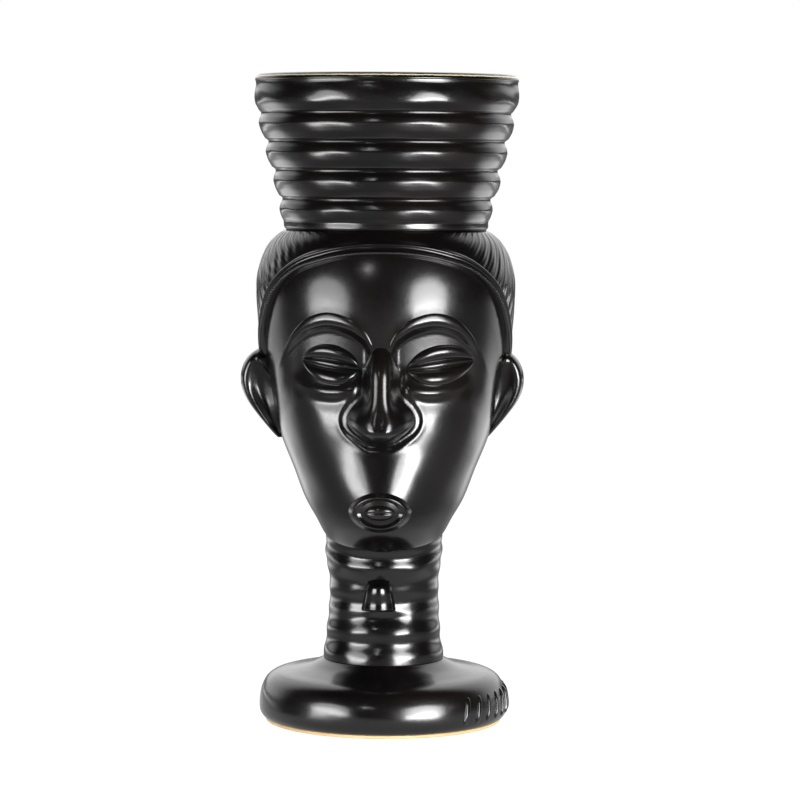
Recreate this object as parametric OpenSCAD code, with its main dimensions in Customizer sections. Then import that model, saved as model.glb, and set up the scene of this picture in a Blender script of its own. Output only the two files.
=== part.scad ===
// Carved-head cup on a ringed neck and a round foot, one fired ceramic vessel.
// Every node is one of the potter's pieces: a thrown section, a cast shell, a pressed sprig or the
// lining of glaze. Each is closed and meets its neighbours face to face. Z is up and the face
// looks along -Y.

/* [Overall] */
// Height from the table to the lip
mug_h = 160; // [159:0.5:164]
// Outside diameter at the lip
rim_d = 65; // [64:0.5:68]
// Thickness of the rounded lip
lip_wall = 3.0; // [2.6:0.1:3.4]

/* [Crown] */
// Radius of the crown where it stands on the head
crown_foot_r = 25.2; // [24.8:0.1:25.6]
// Number of rolls round the crown below the lip band
roll_count = 4; // [3:1:5]
// How far each roll stands out over the valley above it
roll_depth = 1.0; // [0.6:0.05:1.3]

/* [Hair] */
// Thickness of the carved hair over the skull
hair_thick = 1.2; // [0.8:0.1:1.6]
// Height of the band along the hair's edge
band_h = 2.3; // [1.6:0.1:2.8]
// Thickness of that band
band_thick = 1.6; // [1.3:0.1:2.1]

/* [Face] */
// How far the jaw swells forwards round the mouth
muzzle = 3.5; // [0:0.1:4]
// How far both ears sit towards the left
ear_shift = 0.75; // [0:0.05:1]

/* [Neck and foot] */
// How far each neck ring stands out
ring_depth = 0.4; // [0.2:0.05:0.8]
// Widest radius of the foot
foot_r = 30.9; // [30:0.1:32]
// Height of the bare clay left under the glaze
bare_h = 0.8; // [0.5:0.1:1.2]

/* [Glaze and marks] */
// Thickness of the glaze lining
liner_t = 0.4; // [0.3:0.05:0.5]
// Number of slanted bars on the foot
bar_count = 13; // [9:2:17]
// How far the bars stand out
bar_depth = 0.55; // [0.3:0.05:0.8]

/* [Hidden] */
$fn = 96;

glaze = [0.06, 0.055, 0.055];
clay = [0.80, 0.64, 0.42];
lining = [0.10, 0.09, 0.09];

rim_r = rim_d / 2;
lip_h = 1.6;           // height of the lip bead
crown_z = 122;         // where the crown stands on the head
skull_foot_z = 48;     // where the head stands on the neck
foot_top_z = 15.4;     // where the neck stands on the foot
eye_x = 13.2;          // middle of each eye
eye_z = 90.3;
mouth_z = 54.6;

// ---- curves ---------------------------------------------------------------------------------
function spline(p0, p1, p2, p3, u) =
  0.5 * (2 * p1 + (p2 - p0) * u + (2 * p0 - 5 * p1 + 4 * p2 - p3) * u * u
         + (3 * p1 - p0 - 3 * p2 + p3) * u * u * u);
// A smooth curve through the rows of a table, t counting rows from 0.
function along(table, t) =
  let (last = len(table) - 1, i = min(last - 1, max(0, floor(t))))
  spline(table[max(0, i - 1)], table[i], table[i + 1], table[min(last, i + 2)], t - i);
function samples(table, per_row) =
  [for (k = [0 : per_row * (len(table) - 1)]) along(table, k / per_row)];
function bump(d, half) = exp(-pow(d / half, 2));
// A smooth step from 0 at the first value to 1 at the second.
function ramp(v, low, high) =
  let (s = min(1, max(0, (v - low) / (high - low)))) s * s * (3 - 2 * s);
function unit(v) = v / norm(v);

// ---- crown ----------------------------------------------------------------------------------
roll_low = 127;
band_low = 155;
roll_pitch = (band_low - roll_low) / roll_count;
belly_slope = (rim_r - crown_foot_r - 2.1) / 21.3;
// One roll as fractions of the pitch and of the depth: a slow swell and a short, crisp shoulder.
roll_shape = [[-0.3, -0.55], [-0.12, -0.08], [0, 0], [0.14, -0.1], [0.26, -0.6], [0.36, -1], [0.5, -1]];
function belly_r(z) = crown_foot_r + 1.1 + belly_slope * (z - roll_low);
crown_rows = concat(
  [[crown_foot_r, crown_z]],
  [for (k = [0 : roll_count - 1], p = roll_shape)
    let (z = roll_low + (k + p[0]) * roll_pitch) [belly_r(z) + roll_depth * p[1], z]],
  [[rim_r - 0.4, band_low - 2.6], [rim_r, band_low - 1.4], [rim_r, band_low + 0.6],
   [rim_r - 0.25, mug_h - lip_h - 1.2], [rim_r - 0.05, mug_h - lip_h]]
);

// ---- inside of the cup ----------------------------------------------------------------------
// Radius and height down the cavity, from the lip to the middle of the floor.
cavity_rows = [
  [rim_r - lip_wall, mug_h + 0.4], [rim_r - lip_wall - 0.2, mug_h - 5], [26.9, 144], [24.2, 132],
  [22.2, 124], [22.6, 118], [25.0, 110], [26.0, 101], [25.2, 91], [23.4, 80], [20.8, 70],
  [17.0, 61], [12.6, 53.5], [9.8, 47], [9.2, 40], [9.0, 30], [9.0, 22], [10.2, 15.6],
  [15.0, 11.3], [21.0, 9.6], [25.2, 8.0], [26.2, 5.9], [24.0, 4.0], [18.0, 3.6], [0, 3.6]
];
cavity_curve = samples(cavity_rows, 3);
module cavity_solid() {
  rotate_extrude() polygon(concat([[0, mug_h + 0.4]], cavity_curve));
}

// ---- skull ----------------------------------------------------------------------------------
// Each row is one section: height, half width, depth to the face, depth to the back, and how far
// the section dips at the chin.
skull_rows = [
  [crown_z, 23.9, 23.6, 24.2, 0], [119.0, 27.2, 26.0, 27.6, 0], [115.0, 29.4, 27.6, 29.8, 0],
  [109.0, 30.7, 28.6, 30.8, 0], [101.0, 30.4, 28.6, 30.9, 0], [92.0, 29.6, 27.6, 30.0, 0],
  [82.0, 28.1, 26.6, 28.0, 0], [72.0, 26.0, 26.3, 24.8, 0], [63.0, 22.5, 25.7, 20.8, 0.3],
  [56.0, 19.8, 24.7, 17.6, 0.8], [51.2, 17.0, 22.8, 15.4, 1.7], [48.2, 15.2, 20.0, 14.3, 2.9],
  [47.5, 14.0, 16.4, 13.8, 2.3], [skull_foot_z, 13.6, 13.6, 13.6, 0]
];
row_last = len(skull_rows) - 1;
// The row at which a section reaches a height, found by halving.
function row_at(z, low = 0, high = 10, n = 18) =
  let (mid = (low + high) / 2)
  n == 0 ? mid
    : along(skull_rows, mid)[0] > z ? row_at(z, mid, high, n - 1) : row_at(z, low, mid, n - 1);
// Sockets sunk round the eyes, the fold under each and the swell of the jaw.
function socket(x, z) =
  1.9 * bump(abs(x) - eye_x, 9.5) * bump(z - eye_z, 7.5)
  - 0.5 * bump(abs(x) - eye_x, 7) * bump(z - eye_z + 8, 2.4)
  - muzzle * bump(x, 13) * ramp(z, 75, 53) * (1 - ramp(z, 50.5, 42));
// A point on the skull: a is degrees from the face, t the row, out a distance outwards.
function skull(a, t, out) =
  let (
    s = along(skull_rows, t),
    c = cos(a),
    depth = (c > 0 ? s[2] : s[3]) + out,
    wide = s[1] + out,
    x = wide * sin(a),
    sunk = c > 0 ? socket(x, s[0]) * c : 0
  )
  [x, -(depth - sunk) * c, s[0] - s[4] * c];
// A point on the face found by its x and height.
function on_face(x, z, out) =
  let (t = row_at(z), s = along(skull_rows, t)) skull(asin(x / (s[1] + out)), t, out);

// Height of the hair's edge round the head: an arch over the forehead, low at the nape.
hairline = [[0, 117], [15, 116.6], [30, 115.1], [45, 112.3], [60, 106.4], [75, 97.6], [90, 88.5],
            [105, 83], [120, 80], [135, 77.6], [150, 75.8], [165, 74.7], [180, 74.4]];
function hair_z(a) = along(hairline, abs(a > 180 ? a - 360 : a) / 15)[1];

columns = 76;          // meridians round the head, closer together over the face
hair_rows = 7;
face_rows = 22;
azimuths = [for (k = [0 : columns - 1]) let (u = k * 360 / columns) u - 22 * sin(u)];
edge_rows = [for (a = azimuths) row_at(hair_z(a))];
hem_rows = [for (a = azimuths) row_at(hair_z(a) + band_h)];

// Rings of points, all with the same count: hair from the crown to its hem, the edge, the face.
function hair_ring(k, out) =
  [for (i = [0 : columns - 1]) skull(azimuths[i], hem_rows[i] * k / hair_rows, out)];
function edge_ring(out) = [for (i = [0 : columns - 1]) skull(azimuths[i], edge_rows[i], out)];
function face_ring(k) =
  [for (i = [0 : columns - 1])
    skull(azimuths[i], edge_rows[i] + (row_last - edge_rows[i]) * k / face_rows, 0)];

// Skins a stack of rings of equal count. Closed, the last ring meets the first; open, flat caps.
module skin(rings, closed = false) {
  n = len(rings[0]);
  m = len(rings);
  sides = [
    for (j = [0 : m - (closed ? 1 : 2)], i = [0 : n - 1], half = [0, 1])
      let (
        j2 = (j + 1) % m,
        i2 = (i + 1) % n,
        a = j * n + i, b = j * n + i2, c = j2 * n + i2, d = j2 * n + i
      )
      half == 0 ? [a, b, c] : [a, c, d]
  ];
  caps = closed ? [] : [
    [for (i = [n - 1 : -1 : 0]) i],
    [for (i = [0 : n - 1]) (m - 1) * n + i]
  ];
  polyhedron([for (ring = rings, p = ring) p], concat(sides, caps));
}
// A coil of clay pressed along a path that faces the front, with its own radius at each point.
module coil(path, radii, closed = false, sides = 10) {
  n = len(path);
  skin([for (i = [0 : n - 1])
    let (
      before = path[closed ? (i + n - 1) % n : max(0, i - 1)],
      after = path[closed ? (i + 1) % n : min(n - 1, i + 1)],
      run = unit(after - before),
      across = unit(cross([0, -1, 0], run)),
      up = cross(run, across)
    )
    [for (k = [0 : sides - 1])
      path[i] + radii[i] * (cos(k * 360 / sides) * across - sin(k * 360 / sides) * up)]
  ], closed);
}
module skull_solid() {
  skin(concat(
    [for (k = [0 : hair_rows]) hair_ring(k, 0)],
    [for (k = [0 : face_rows]) face_ring(k)]
  ));
}

// ---- crown and head -------------------------------------------------------------------------
module lip_bead() {
  low = mug_h - lip_h;
  mid_r = rim_r - 0.05 - lip_wall / 2;
  color(glaze) difference() {
    rotate_extrude() polygon(concat(
      [for (a = [0 : 10 : 180]) [mid_r + (lip_wall / 2) * cos(a), low + lip_h * sin(a)]],
      [[mid_r - lip_wall, low]]
    ));
    cavity_solid();
  }
}
module crown_wall() {
  color(glaze) difference() {
    rotate_extrude() polygon(concat(
      [[0, crown_z]], samples(crown_rows, 3), [[0, mug_h - lip_h]]
    ));
    cavity_solid();
  }
}
module head_shell() {
  color(glaze) difference() {
    skull_solid();
    cavity_solid();
  }
}
module hair_cap() {
  color(glaze) skin(concat(
    [for (k = [0 : hair_rows]) hair_ring(k, hair_thick)],
    [for (k = [hair_rows : -1 : 0]) hair_ring(k, 0)]
  ), closed = true);
}
module brow_band() {
  color(glaze) skin([
    hair_ring(hair_rows, 0), hair_ring(hair_rows, band_thick), edge_ring(band_thick * 0.8),
    edge_ring(0)
  ], closed = true);
}

// ---- relief of the face ---------------------------------------------------------------------
// Ovals stacked downwards, each row a height, a centre in x and y and two half widths.
function ovals(rows, side) =
  [for (row = samples(rows, 2))
    [for (k = [0 : 17])
      [side * (row[1] + row[3] * cos(20 * k)), row[2] + side * row[4] * sin(20 * k), row[0]]]];
ear_rows = [
  [92.9, 28.6, 0.8, 1.2, 1.4], [91.8, 29.4, 0.8, 2.8, 3.0], [89.6, 30.4, 0.8, 3.9, 4.0],
  [86.5, 31.0, 0.8, 4.2, 4.5], [83.0, 30.6, 0.8, 4.2, 4.5], [79.0, 29.2, 1.0, 3.7, 3.9],
  [75.0, 27.4, 1.3, 2.8, 3.0], [71.5, 25.9, 1.6, 1.6, 1.9], [70.2, 25.4, 1.6, 0.5, 0.7]
];
// The hollow that opens forwards inside the ear's rim.
ear_bowl_rows = [
  [90.2, 30.0, -3.0, 0.6, 0.9], [88.6, 30.5, -3.4, 2.1, 2.8], [86.2, 30.9, -3.5, 2.8, 3.9],
  [82.8, 30.5, -3.5, 2.8, 4.0], [79.0, 29.2, -3.3, 2.3, 3.5], [75.6, 27.7, -2.9, 1.4, 2.5],
  [73.4, 26.9, -2.6, 0.4, 0.7]
];
module ear(side) {
  color(glaze) difference() {
    translate([-ear_shift, 0, 0]) skin(ovals(ear_rows, side));
    translate([-ear_shift, 0, 0]) skin(ovals(ear_bowl_rows, side));
    skull_solid();
  }
}
module brow_ridges() {
  arc = [[1.8, 93.4, 0.3], [3.8, 96.4, 0.7], [7.5, 99.0, 0.85], [13, 100.2, 0.9], [18, 98.8, 0.8],
         [21.6, 95.6, 0.5], [23.2, 93.0, 0.2]];
  color(glaze) difference() {
    for (side = [-1, 1])
      coil([for (p = samples(arc, 2)) on_face(side * p[0], p[1], 0)], [for (p = samples(arc, 2)) p[2]]);
    skull_solid();
  }
}
// Each row is a height, the half width at the creases, how far the ridge stands out, and the share
// of that height held by the narrow ridge.
nose_rows = [
  [96.4, 2.2, 0.6, 0.5], [93.6, 3.5, 1.6, 0.6], [91.0, 4.3, 2.9, 0.65], [88.0, 4.8, 3.9, 0.65],
  [85.0, 5.3, 4.6, 0.65], [82.0, 6.3, 5.1, 0.6], [79.5, 8.2, 5.5, 0.5], [77.5, 9.0, 5.8, 0.4],
  [75.5, 8.6, 5.8, 0.35], [73.5, 6.8, 4.9, 0.3], [72.0, 4.8, 3.2, 0.3], [70.9, 2.8, 1.4, 0.3]
];
module nose() {
  steps = 9;
  color(glaze) difference() {
    skin([for (row = samples(nose_rows, 2))
      let (z = row[0], base = -on_face(0, z, 0)[1], w = row[1])
      concat(
        [for (k = [-steps : steps])
          let (
            u = k / steps, x = w * u,
            lift = row[2] * (row[3] * bump(x, 2.4) + (1 - row[3]) * (1 - pow(abs(u), 2.6)))
          )
          [x, -(base * sqrt(1 - pow(x / 28, 2)) + lift) + (abs(u) == 1 ? 1 : 0), z]],
        [[w, -20, z], [-w, -20, z]]
      )]);
    skull_solid();
  }
}
// Two lids and the slit of the eye between them, coils that meet in the corners.
module eye(side) {
  half = 7.4;
  steps = [for (k = [-9 : 9]) k / 9];
  color(glaze) difference() {
    for (lid = [[3.0, 1.9], [0, 1.45], [-3.2, 1.9]])
      coil(
        [for (u = steps)
          on_face(side * (eye_x + half * u), eye_z + 0.8 * u + lid[0] * (1 - u * u), 0.1)],
        [for (u = steps) 0.15 + (lid[1] - 0.15) * pow(1 - u * u, 0.7)]
      );
    skull_solid();
  }
}
// A raised ring round two pursed lips.
module mouth() {
  turns = [for (k = [0 : 23]) 15 * k];
  steps = [for (k = [-6 : 6]) k / 6];
  color(glaze) difference() {
    union() {
      coil(
        [for (t = turns) on_face(6.1 * cos(t), mouth_z + 3.6 * sin(t), 0)],
        [for (t = turns) 1.15], closed = true
      );
      for (lip = [1, -1])
        coil(
          [for (u = steps) on_face(4.9 * u, mouth_z + 1.05 * lip * (1 - u * u), 0.1)],
          [for (u = steps) 0.3 + 0.95 * sqrt(1 - u * u)]
        );
    }
    skull_solid();
  }
}

// ---- neck and foot --------------------------------------------------------------------------
ring_z = [18.0, 23.2, 28.4, 33.4, 38.4];
neck_rows = [
  [14.9, foot_top_z], [14.1, 19.6], [13.8, 24], [13.4, 28], [13.3, 33], [13.5, 37], [14.0, 41],
  [14.5, 44], [14.5, 46.4], [13.6, skull_foot_z]
];
neck_curve = [for (p = samples(neck_rows, 6))
  p + [ring_depth * ([for (c = ring_z) bump(p[1] - c, 1.7)] * [for (c = ring_z) 1]), 0]];
module neck_solid() {
  rotate_extrude() polygon(concat([[0, foot_top_z]], neck_curve, [[0, skull_foot_z]]));
}
module neck_column() {
  color(glaze) difference() {
    neck_solid();
    cavity_solid();
  }
}
module throat_boss() {
  color(glaze) difference() {
    hull() {
      translate([0, -13.2, 35.8]) sphere(1.3, $fn = 20);
      translate([0, -14.6, 31.4]) sphere(1.5, $fn = 24);
      for (side = [-1, 1])
        translate([side * 2.9, -12.9, 30.6]) sphere(1.3, $fn = 20);
    }
    neck_solid();
  }
}
foot_rows = [
  [foot_r - 1.3, bare_h], [foot_r - 0.4, 2.8], [foot_r, 5.6], [foot_r - 0.3, 8.2],
  [foot_r - 1.6, 10.4], [foot_r - 4.2, 11.9], [23.0, 12.9], [18.6, 14.0],
  [neck_curve[0][0], foot_top_z]
];
foot_edge = samples([for (k = [0 : 4]) foot_rows[k]], 4);
module foot_plinth() {
  color(glaze) difference() {
    rotate_extrude() polygon(concat([[0, bare_h]], samples(foot_rows, 4), [[0, foot_top_z]]));
    cavity_solid();
  }
}
module bare_foot() {
  bevel = 0.3;
  color(clay) rotate_extrude() polygon([
    [0, 0], [foot_r - 1.6 - bevel, 0], [foot_r - 1.6, bevel], [foot_r - 1.6, bare_h], [0, bare_h]
  ]);
}
// Slanted bars along the rounded edge, round the right side of the foot.
module foot_bars() {
  spread = 94;
  lean = 12;
  color(glaze) intersection() {
    rotate_extrude() polygon(concat(
      foot_edge,
      [for (k = [len(foot_edge) - 1 : -1 : 0]) foot_edge[k] + [bar_depth, 0]]
    ));
    for (k = [0 : bar_count - 1])
      rotate([0, 0, 90 + spread * (k / (bar_count - 1) - 0.5)])
        translate([0, -foot_r, 5.8]) rotate([0, lean, 0]) cube([1.5, 8, 7.0], center = true);
  }
}
module glaze_liner() {
  n = len(cavity_curve);
  inner = [for (i = [0 : n - 1])
    let (run = unit(cavity_curve[min(n - 1, i + 1)] - cavity_curve[max(0, i - 1)]))
    cavity_curve[i] + liner_t * [run[1], -run[0]]];
  color(lining) intersection() {
    rotate_extrude() polygon(concat(
      cavity_curve, [[0, inner[n - 1][1]]], [for (i = [n - 2 : -1 : 0]) inner[i]]
    ));
    cylinder(h = mug_h - lip_h, r = rim_r);
  }
}

lip_bead();
crown_wall();
head_shell();
hair_cap();
brow_band();
ear(-1);  // left_ear
ear(1);  // right_ear
brow_ridges();
nose();
eye(-1);  // left_eye
eye(1);  // right_eye
mouth();
neck_column();
throat_boss();
foot_plinth();
bare_foot();
foot_bars();
glaze_liner();
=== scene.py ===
"""The carved-head mug as it looks: every sub-part rebuilt as a smooth, detailed piece of glazed clay.

Lengths are millimetres in the tables and metres in the meshes. Z is up and the face looks along -Y.
"""

import logging
import math
from dataclasses import dataclass, field
from enum import Enum
from typing import Callable

import bpy
import numpy as np
from mathutils import Euler, Matrix, Vector

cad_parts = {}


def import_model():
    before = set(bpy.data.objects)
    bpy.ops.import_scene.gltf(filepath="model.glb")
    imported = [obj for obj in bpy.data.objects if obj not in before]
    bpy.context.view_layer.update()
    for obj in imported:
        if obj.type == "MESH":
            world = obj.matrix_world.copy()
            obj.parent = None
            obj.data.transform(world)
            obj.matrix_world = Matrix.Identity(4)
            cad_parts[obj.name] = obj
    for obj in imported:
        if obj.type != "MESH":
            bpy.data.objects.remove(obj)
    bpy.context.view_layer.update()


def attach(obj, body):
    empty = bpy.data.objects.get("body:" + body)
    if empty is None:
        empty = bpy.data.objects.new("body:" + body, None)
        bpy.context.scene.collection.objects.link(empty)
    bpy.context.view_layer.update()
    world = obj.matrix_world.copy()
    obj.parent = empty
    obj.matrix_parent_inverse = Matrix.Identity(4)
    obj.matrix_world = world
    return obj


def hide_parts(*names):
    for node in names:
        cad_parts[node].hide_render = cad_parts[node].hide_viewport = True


LOG = logging.getLogger("mug")
MM = 0.001

MUG_H = 160.0
RIM_R = 32.5
LIP_WALL = 3.0
LIP_LOW = 158.4         # where the lip bead starts
CROWN_Z = 122.0         # where the crown stands on the head
SKULL_FOOT_Z = 48.0     # where the head stands on the neck
FOOT_TOP_Z = 15.4       # where the neck stands on the foot
FLOOR_Z = 3.6           # the bottom of the cavity
FACE_X = -0.45          # the modelled face sits a little to one side of the axis


# ---- numbers and curves ----------------------------------------------------------------------
def linear(hex_colour: str) -> tuple[float, float, float, float]:
    """Turns an sRGB hex colour into linear light, with alpha 1."""
    parts = [int(hex_colour[i:i + 2], 16) / 255 for i in (1, 3, 5)]
    return (*[p / 12.92 if p <= 0.04045 else ((p + 0.055) / 1.055) ** 2.4 for p in parts], 1.0)


def along(table: np.ndarray, t: np.ndarray) -> np.ndarray:
    """A smooth curve through a table's rows.

    Args:
        table: One row of numbers for each control point.
        t: Places along the curve, counting rows from 0.

    Returns:
        One row of numbers for each place.
    """
    last = len(table) - 1
    t = np.asarray(t, float)
    i = np.clip(np.floor(t).astype(int), 0, last - 1)
    u = (t - i)[..., None]
    p0, p1 = table[np.maximum(i - 1, 0)], table[i]
    p2, p3 = table[i + 1], table[np.minimum(i + 2, last)]
    return 0.5 * (2 * p1 + (p2 - p0) * u + (2 * p0 - 5 * p1 + 4 * p2 - p3) * u * u
                  + (3 * p1 - p0 - 3 * p2 + p3) * u ** 3)


def samples(table: list, per_row: int) -> np.ndarray:
    """The curve through a table, sampled per_row times between rows."""
    rows = np.array(table, float)
    return along(rows, np.linspace(0, len(rows) - 1, per_row * (len(rows) - 1) + 1))


def bump(d: np.ndarray, half: float) -> np.ndarray:
    """A soft bell, 1 at d = 0 and about a third at d = half."""
    return np.exp(-(d / half) ** 2)


def ramp(x: np.ndarray, low: float, high: float) -> np.ndarray:
    """Rises smoothly from 0 at low to 1 at high."""
    t = np.clip((x - low) / (high - low), 0, 1)
    return t * t * (3 - 2 * t)


def curve_at(table: list, x: np.ndarray) -> np.ndarray:
    """Reads a smooth y(x) from a table of evenly or unevenly spaced x, y rows."""
    rows = np.array(table, float)
    t = np.interp(x, rows[:, 0], np.arange(len(rows)))
    return along(rows, t)[..., 1]


# ---- meshes ----------------------------------------------------------------------------------
def linked(name: str, data: bpy.types.ID) -> bpy.types.Object:
    """Puts a new object into the scene."""
    obj = bpy.data.objects.new(name, data)
    bpy.context.scene.collection.objects.link(obj)
    return obj


def mesh_object(name: str, verts: np.ndarray, quads: np.ndarray, tris: list) -> bpy.types.Object:
    """Makes a smooth-shaded closed mesh whose faces point outwards.

    Args:
        name: The piece's name.
        verts: Points in millimetres.
        quads: Faces of four corners.
        tris: Faces of three corners.

    Returns:
        The new object, at the origin.
    """
    parts = [quads[:, [0, 1, 2]], quads[:, [0, 2, 3]]] + ([np.array(tris)] if len(tris) else [])
    t = np.concatenate(parts)
    a, b, c = (verts[t[:, k]] for k in range(3))
    if np.einsum("ij,ij->", a, np.cross(b, c)) < 0:
        quads = quads[:, ::-1]
        tris = [tuple(f)[::-1] for f in tris]
    mesh = bpy.data.meshes.new(name)
    mesh.from_pydata((verts * MM).tolist(), [], quads.tolist() + [list(f) for f in tris])
    mesh.shade_smooth()
    mesh.validate()
    return linked(name, mesh)


def skin(name: str, rings: np.ndarray, loop: bool) -> bpy.types.Object:
    """Skins a stack of rings of equal count.

    Args:
        name: The piece's name.
        rings: An array of rings, points and coordinates, in millimetres.
        loop: True where the last ring meets the first; otherwise each end closes in a point.

    Returns:
        The closed object.
    """
    m, n = rings.shape[:2]
    verts = rings.reshape(-1, 3)
    j = np.arange(m if loop else m - 1)[:, None]
    i = np.arange(n)[None, :]
    j2, i2 = (j + 1) % m, (i + 1) % n
    quads = np.stack([j * n + i, j * n + i2, j2 * n + i2, j2 * n + i], -1).reshape(-1, 4)
    tris: list = []
    if not loop:
        tips = np.array([rings[0].mean(0), rings[-1].mean(0)])
        first, last, k = len(verts), len(verts) + 1, (m - 1) * n
        verts = np.concatenate([verts, tips])
        tris = [((a + 1) % n, a, first) for a in range(n)]
        tris += [(k + a, k + (a + 1) % n, last) for a in range(n)]
    return mesh_object(name, verts, quads, tris)


def revolve(name: str, profile: np.ndarray, segments: int, loop: bool,
            wobble: Callable | None = None) -> bpy.types.Object:
    """Turns a profile of radius and height rows round the axis.

    Args:
        name: The piece's name.
        profile: Rows of radius and height, a closed loop, or a line with both ends on the axis.
        segments: How many steps round.
        loop: True where the profile is a closed loop.
        wobble: Adds to the radius, given the angle and the height.

    Returns:
        The closed object.
    """
    if not loop:
        profile = profile[1:-1]
    a = np.linspace(0, 2 * np.pi, segments, endpoint=False)[None, :]
    r, z = profile[:, 0][:, None], profile[:, 1][:, None] + 0 * a
    r = r + (wobble(a, z) if wobble else 0 * a)
    return skin(name, np.stack([r * np.sin(a), -r * np.cos(a), z], -1), loop)


def patch(name: str, front: np.ndarray, back: np.ndarray) -> bpy.types.Object:
    """Closes a relief patch: a front grid and the back grid under it, joined along their edge."""
    m, n = front.shape[:2]
    verts = np.concatenate([front.reshape(-1, 3), back.reshape(-1, 3)])
    j, i = np.arange(m - 1)[:, None], np.arange(n - 1)[None, :]
    top = np.stack([j * n + i, j * n + i + 1, (j + 1) * n + i + 1, (j + 1) * n + i], -1).reshape(-1, 4)
    rim = np.concatenate([np.arange(n), np.arange(1, m) * n + n - 1,
                          (m - 1) * n + np.arange(n - 2, -1, -1), np.arange(m - 2, 0, -1) * n])
    nxt = np.roll(rim, -1)
    side = np.stack([rim, rim + m * n, nxt + m * n, nxt], -1)
    return mesh_object(name, verts, np.concatenate([top, top[:, ::-1] + m * n, side]), [])


# ---- finishes --------------------------------------------------------------------------------
class Texture(Enum):
    """How a pattern's coordinates are stretched, per metre."""

    SPECKLE = 2600.0
    PORES = 900.0
    RIPPLE = 110.0
    CLOUD = 38.0


def add(tree: bpy.types.NodeTree, kind: str, inputs: dict | None = None, **settings) -> bpy.types.Node:
    """Adds a node, sets its properties and fills or links its inputs.

    Args:
        tree: The node tree.
        kind: The node's type name.
        inputs: Input name or number to a value, or to an output to link.
        settings: Properties of the node.

    Returns:
        The new node.
    """
    node = tree.nodes.new(kind)
    for key, value in settings.items():
        setattr(node, key, value)
    for key, value in (inputs or {}).items():
        if isinstance(value, bpy.types.NodeSocket):
            tree.links.new(value, node.inputs[key])
        else:
            node.inputs[key].default_value = value
    return node


def eased(tree: bpy.types.NodeTree, value: bpy.types.NodeSocket, low: float, high: float,
          to_low: float, to_high: float) -> bpy.types.NodeSocket:
    """Maps one range to another, smoothly and clamped.

    Args:
        tree: The node tree.
        value: The socket to map.
        low: Where the range starts.
        high: Where it ends.
        to_low: What the start becomes.
        to_high: What the end becomes.

    Returns:
        The mapped socket.
    """
    return add(tree, "ShaderNodeMapRange", {
        "Value": value, "From Min": low, "From Max": high, "To Min": to_low, "To Max": to_high,
    }, interpolation_type="SMOOTHSTEP").outputs["Result"]


def maths(tree: bpy.types.NodeTree, operation: str,
          *values: bpy.types.NodeSocket | float) -> bpy.types.NodeSocket:
    """Works out one sum from sockets or numbers."""
    return add(tree, "ShaderNodeMath", dict(enumerate(values)), operation=operation).outputs[0]


def blend(tree: bpy.types.NodeTree, factor: bpy.types.NodeSocket, first, second) -> bpy.types.NodeSocket:
    """Mixes two colours, each a value or a socket."""
    mix = add(tree, "ShaderNodeMix", {"Factor": factor, "A": first, "B": second}, data_type="RGBA")
    return next(o for o in mix.outputs if o.type == "RGBA")


def blank_material(name: str) -> tuple[bpy.types.Material, bpy.types.NodeTree]:
    """A new material and its empty node tree."""
    mat = bpy.data.materials.new(name)
    mat.use_nodes = True
    mat.node_tree.nodes.clear()
    return mat, mat.node_tree


def node_rule(name: str, inputs: dict[str, str],
              output: str) -> tuple[bpy.types.NodeTree, dict[str, str], bpy.types.Node]:
    """Starts a geometry node tree with named inputs and one output.

    Args:
        name: The tree's name.
        inputs: Each input's name to its kind, such as Float.
        output: The output's name.

    Returns:
        The tree, the identifier of each input, and the node that the inputs come from.
    """
    tree = bpy.data.node_groups.new(name, "GeometryNodeTree")
    ids = {key: tree.interface.new_socket(key, in_out="INPUT", socket_type=f"NodeSocket{kind}")
           for key, kind in inputs.items()}
    tree.interface.new_socket(output, in_out="OUTPUT", socket_type="NodeSocketGeometry")
    source = add(tree, "NodeGroupInput")
    return tree, {key: socket.identifier for key, socket in ids.items()}, source


def end_rule(tree: bpy.types.NodeTree, source: bpy.types.Node, copies: bpy.types.NodeSocket) -> None:
    """Makes a tree's copies real, paints them with its Finish input and hands them out."""
    solid = add(tree, "GeometryNodeRealizeInstances", {"Geometry": copies})
    painted = add(tree, "GeometryNodeSetMaterial", {
        "Geometry": solid.outputs["Geometry"], "Material": source.outputs["Finish"]})
    add(tree, "NodeGroupOutput", {0: painted.outputs["Geometry"]})


def baked(name: str, holder: bpy.types.Object, tree: bpy.types.NodeTree,
          values: dict) -> bpy.types.Object:
    """Runs a tree on an object and keeps only the mesh that comes out.

    Args:
        name: The new piece's name.
        holder: The object that the tree starts from, removed afterwards.
        tree: The geometry node tree.
        values: Input identifier to value.

    Returns:
        The baked object.
    """
    rule = holder.modifiers.new(name, "NODES")
    rule.node_group = tree
    for key, value in values.items():
        rule[key] = value
    graph = bpy.context.evaluated_depsgraph_get()
    mesh = bpy.data.meshes.new_from_object(holder.evaluated_get(graph), depsgraph=graph)
    mesh.name = name
    bpy.data.objects.remove(holder)
    return linked(name, mesh)


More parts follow.
